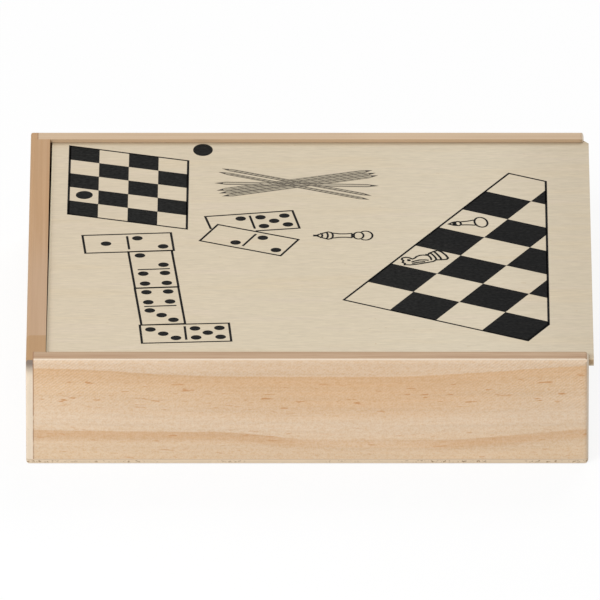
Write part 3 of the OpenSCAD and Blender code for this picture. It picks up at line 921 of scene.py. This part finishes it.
# Width of a drawn stick and of its outline, and the distance between its stripes, by its slant
DRAWN_STICK_W = {-1: 2.4, 0: 1.95, 1: 1.7}
STICK_LINE = {-1: 0.2, 0: 0.55, 1: 0.28}
STRIPE_STEP = {-1: 2.185, 1: 1.765}
STRIPE_ANGLE = 34.5
STRIPE_W = 0.45
DRAWN_TIP = 3.4
# How much of its taper the dark end of a drawn stick takes
TIP_SHARE = 0.66


def across_stick(start, end, slant):
    """The direction of a drawn stick, and half its width square to that."""
    ahead = (end - start).normalized()
    return ahead, Vector((-ahead.y, ahead.x)) * DRAWN_STICK_W[slant] / 2


def stick_outline(start, end, slant):
    ahead, side = across_stick(start, end, slant)
    near, far = start + ahead * DRAWN_TIP, end - ahead * DRAWN_TIP
    return [start, near - side, far - side, end, far + side, near + side]


def stick_tip(tips, point, one, other):
    """The dark end of a drawn stick."""
    tips.prism([point, point.lerp(one, TIP_SHARE), point.lerp(other, TIP_SHARE)])


def stripe_stick(lines, start, end, slant):
    """Short parallel lines across a drawn stick, which run on from each stick to the one beside it."""
    ahead, side = across_stick(start, end, slant)
    stripe, square = turn(slant * STRIPE_ANGLE)
    half = stripe * side.length / abs(stripe.cross(ahead))
    first, last = sorted(p.dot(square) for p in (start + ahead * DRAWN_TIP, end - ahead * DRAWN_TIP))
    step = STRIPE_STEP[slant]
    for k in range(math.ceil(first / step), math.floor(last / step) + 1):
        middle = start + ahead * (k * step - start.dot(square)) / ahead.dot(square)
        lines.path([middle - half, middle + half], STRIPE_W)


def print_sticks(face, tip_ink, line_ink, fill_ink, shade_ink):
    """The crossed sticks: the plain one has a light tint and the striped ones a darker shade."""
    tips = Print("print_stick_tips", face, high=INK_HIGH + 2 * len(DRAWN_STICKS) * LAYER)
    lines = Print("print_stick_lines", face)
    fills = Print("print_stick_fills", face, high=TINT_HIGH)
    shades = Print("print_stick_shades", face, high=TINT_HIGH)
    for near, far, slant in DRAWN_STICKS:
        start, end = Vector(near), Vector(far)
        outline = stick_outline(start, end, slant)
        lines.path(outline, STICK_LINE[slant], closed=True)
        lines.lift(LAYER)
        if slant:
            stripe_stick(lines, start, end, slant)
            lines.lift(LAYER)
        stick_tip(tips, start, outline[1], outline[5])
        stick_tip(tips, end, outline[2], outline[4])
        tips.lift(LAYER)
        (shades if slant else fills).prism(outline)
        fills.lift(LAYER)
        shades.lift(LAYER)
    for drawing, laid in ((fills, fill_ink), (shades, shade_ink), (lines, line_ink), (tips, tip_ink)):
        drawing.done(laid)


class Figure:
    """A lying chessman in outline: places run along its axis from the foot, and out to either side."""

    def __init__(self, drawing, foot, angle):
        self.drawing = drawing
        self.foot = Vector(foot)
        self.ahead, self.side = turn(angle)

    def spot(self, along_axis, out):
        return self.foot + self.ahead * along_axis + self.side * out

    def line(self, points, width=THIN_LINE, closed=False):
        self.drawing.path([self.spot(*p) for p in points], width, closed=closed)
        self.drawing.lift(LAYER)

    def arc(self, middle, half_length, half_width, start=0.0, sweep=360.0, steps=32):
        """Part of an oval round a point of the axis; 0 degrees points along the axis."""
        full = sweep == 360.0
        angles = [math.radians(start + sweep * k / steps) for k in range(steps if full else steps + 1)]
        points = [(middle + half_length * math.cos(a), half_width * math.sin(a)) for a in angles]
        self.line(points, closed=full)

    def sides(self, start, end, wide, narrow, steps=8):
        """Both sides of a stem that curves in from wide to narrow."""
        for hand in (-1, 1):
            self.line([(start + (end - start) * k / steps,
                        hand * (narrow + (wide - narrow) * (1 - k / steps) ** 2)) for k in range(steps + 1)])


def draw_pawn(drawing, foot, angle):
    man = Figure(drawing, foot, angle)
    man.arc(2.3, 2.3, 4.3)
    man.sides(4.6, 9.6, 2.3, 1.4)
    man.arc(10.6, 1.0, 1.8)
    man.line([(11.2, -1.7), (12.4, -1.3), (14.0, 0.0), (12.4, 1.3), (11.2, 1.7)])
    man.arc(12.0, 0.3, 1.2, steps=12)


def draw_bishop(drawing, foot, angle):
    man = Figure(drawing, foot, angle)
    man.arc(2.5, 2.5, 3.9, start=55.0, sweep=250.0)
    man.arc(5.0, 1.8, 3.0)
    man.line([(7.0, -1.7), (7.0, 1.7)], width=2 * THIN_LINE)
    for hand in (-1, 1):
        man.line([(7.2, hand * 1.9), (9.4, hand * 1.5), (11.8, hand * 1.5), (14.6, hand * 2.3)])
    man.line([(14.6, -2.6), (15.9, -3.2), (17.6, -2.2), (19.6, -0.7), (19.6, 0.7), (17.6, 2.2), (15.9, 3.2),
              (14.6, 2.6)])
    for middle, reach in ((15.1, 2.7), (16.9, 2.9), (18.9, 1.8)):
        man.arc(middle, 0.9, reach, start=90.0, sweep=180.0, steps=10)
    man.line([(19.4, 0.0), (21.3, 0.0)], width=2 * THIN_LINE)


def draw_knight(drawing, foot, angle):
    man = Figure(drawing, foot, angle)
    man.line([(2.8, 3.9), (1.2, 4.2), (0.4, 2.4), (0.0, -0.6), (0.2, -3.4), (1.1, -4.2), (2.9, -3.9),
              (2.6, -1.6), (2.6, 1.2)], width=1.1 * THIN_LINE, closed=True)
    for height, reach in ((4.9, 3.2), (6.6, 2.6)):
        man.arc(height, 0.7, reach, start=90.0, sweep=180.0, steps=12)
    man.line([(2.8, 3.9), (5.0, 3.0), (6.2, 1.5), (7.4, 2.3), (8.8, 2.5), (10.2, 2.0), (11.4, 0.9),
              (12.4, 0.5), (13.0, 1.9), (14.0, 2.8), (15.4, 2.7), (16.1, 1.7), (15.9, 0.3), (16.8, -0.9),
              (16.3, -2.2), (16.9, -3.1), (15.0, -4.0), (12.6, -4.3), (9.4, -4.3), (6.2, -4.2), (4.9, -3.3),
              (2.9, -3.9)])
    man.line([(13.6, -1.7), (11.9, -1.4), (10.2, -1.2), (8.4, -1.9), (7.4, -2.6)])
    man.line([(13.9, -3.0), (11.4, -2.9), (9.0, -3.2)])
    man.arc(14.0, 0.3, 0.5, steps=10)


def print_chessmen(face, ink):
    drawing = Print("print_chessmen", face)
    draw_bishop(drawing, (23.4, 11.2), 180.0)
    draw_pawn(drawing, (64.7, 23.2), 188.0)
    draw_knight(drawing, (49.4, -5.3), 201.5)
    drawing.done(ink)


def print_big_board(face, ink):
    """A turned chessboard that runs off past a straight line on its right."""
    board = Print("print_big_board", face)
    corner = Vector((13.0, -44.9))
    ahead, side = turn(61.7)
    across, down = ahead * 18.0, side * 18.6
    cut = 86.0
    columns, rows = 7, 4
    for i, j, cell in grid_cells(corner, across, down, columns, rows):
        cell = keep_left(cell, cut)
        if (i + j) % 2 == 1 and len(cell) > 2:
            board.prism(cell)
    board.path(keep_left(four_sided(corner, columns * across, rows * down), cut), closed=True)
    board.done(ink)


def print_playing_board(face, ink):
    """The board for chess and draughts, on the lid's underside."""
    board = Print("print_playing_board", face, up=-1.0)
    squares, cell, border = 8, 22.5, 1.2
    across, up = Vector((1.0, 0.0)), Vector((0.0, 1.0))
    start = (sum(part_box("lid"), Vector()) / 2 / MM).xy - squares / 2 * cell * (across + up)
    for i, j, outline in grid_cells(start, cell * across, cell * up, squares, squares):
        if (i + j) % 2 == 0:
            board.prism(outline)
    side = squares * cell + 2 * border
    board.path(four_sided(start - border * (across + up), side * across, side * up), closed=True)
    board.done(ink)


def print_lid():
    ink = ink_black()
    tip_ink = thin_ink("ink_tips", rgb(40, 32, 24), rgb(58, 48, 36))
    line_ink = thin_ink("ink_lines", rgb(88, 80, 68), rgb(106, 97, 82))
    fill_ink = thin_ink("ink_tint", rgb(182, 170, 148), rgb(193, 181, 158))
    shade_ink = thin_ink("ink_shade", rgb(154, 144, 124), rgb(166, 155, 134))
    under, top = (corner.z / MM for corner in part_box("lid"))
    print_small_board(top, ink)
    print_counters(top, ink)
    print_tiles(top, ink)
    print_sticks(top, tip_ink, line_ink, fill_ink, shade_ink)
    print_chessmen(top, ink)
    print_big_board(top, ink)
    print_playing_board(under, ink)


# Stage, light and camera

# Height of the camera in degrees, width and middle of what it sees in metres, and its lens in millimetres
ELEVATION = 24.3
VIEW_WIDTH = 0.21533
VIEW_CENTRE = (-0.00261, 0.0, 0.0187)
LENS = 1600.0
SENSOR = 36.0


def make_camera():
    data = bpy.data.cameras.new("camera")
    data.type = "PERSP"
    data.lens = LENS
    data.sensor_width = SENSOR
    data.clip_end = 100.0
    camera = new_object("camera", data)
    tilt = math.radians(ELEVATION)
    distance = VIEW_WIDTH * LENS / SENSOR
    camera.location = Vector(VIEW_CENTRE) + distance * Vector((0.0, -math.cos(tilt), math.sin(tilt)))
    camera.rotation_euler = (math.pi / 2 - tilt, 0.0, 0.0)
    bpy.context.scene.camera = camera


def seen_rays(tree):
    """1 for rays that show the background straight, in a reflection or through glass."""
    path = tree.node("LightPath").outputs
    seen = path["Is Camera Ray"]
    for name in ("Is Glossy Ray", "Is Transmission Ray"):
        seen = tree.math("MAXIMUM", seen, path[name])
    return seen


WHITE = (1.0, 1.0, 1.0, 1.0)
PAPER = (0.8, 0.8, 0.8, 1.0)
# How much of the object's shadow a viewer sees on the white floor
SHADOW_SHARE = 0.14
FLOOR_HALF = 3.0
# How far the floor lies under the base, so that they never share a plane
FLOOR_DROP = 0.05 * MM


def make_floor():
    """Pale paper for the light that falls on it. Seen straight, it is white with a faint shadow."""
    data = bpy.data.meshes.new("floor")
    corners = [(x * FLOOR_HALF, y * FLOOR_HALF, -FLOOR_DROP) for x, y in ((-1, -1), (1, -1), (1, 1), (-1, 1))]
    data.from_pydata(corners, [], [(0, 1, 2, 3)])
    floor = new_object("floor", data)
    material = bpy.data.materials.new("floor")
    tree = NodeTree(material)
    paper = tree.node("BsdfDiffuse", PAPER).outputs[0]
    lit = tree.node("BsdfDiffuse", WHITE).outputs[0]
    glow = tree.node("Emission", WHITE, 1.0).outputs[0]
    card = tree.node("MixShader", SHADOW_SHARE, glow, lit).outputs[0]
    tree.node("OutputMaterial", tree.node("MixShader", seen_rays(tree), paper, card).outputs[0])
    data.materials.append(material)


def make_world(level):
    """An even white light of that strength, which is seen as pure white."""
    world = bpy.data.worlds.new("world")
    bpy.context.scene.world = world
    tree = NodeTree(world)
    lamp = tree.node("Background", WHITE, level).outputs[0]
    white = tree.node("Background", WHITE, 1.0).outputs[0]
    tree.node("OutputWorld", tree.node("MixShader", seen_rays(tree), lamp, white).outputs[0])


def area_light(name, azimuth, elevation, distance, size, level):
    """A square soft light aimed at the box. level is how white it makes a white face turned to it."""
    data = bpy.data.lights.new(name, "AREA")
    data.shape = "SQUARE"
    data.size = size
    data.energy = level * (math.pi * distance) ** 2
    lamp = new_object(name, data)
    a, e = math.radians(azimuth), math.radians(elevation)
    back = Vector((math.sin(a) * math.cos(e), -math.cos(a) * math.cos(e), math.sin(e)))
    lamp.location = Vector(VIEW_CENTRE) + back * distance
    lamp.rotation_mode = "QUATERNION"
    lamp.rotation_quaternion = (-back).to_track_quat("-Z", "Y")


make_camera()
make_floor()
make_world(level=0.45)
area_light("key", azimuth=-38.0, elevation=38.0, distance=1.6, size=0.9, level=0.62)
area_light("back", azimuth=165.0, elevation=40.0, distance=1.8, size=0.8, level=0.28)
bpy.context.scene.view_settings.view_transform = "Standard"

dress_frame()
print_lid()
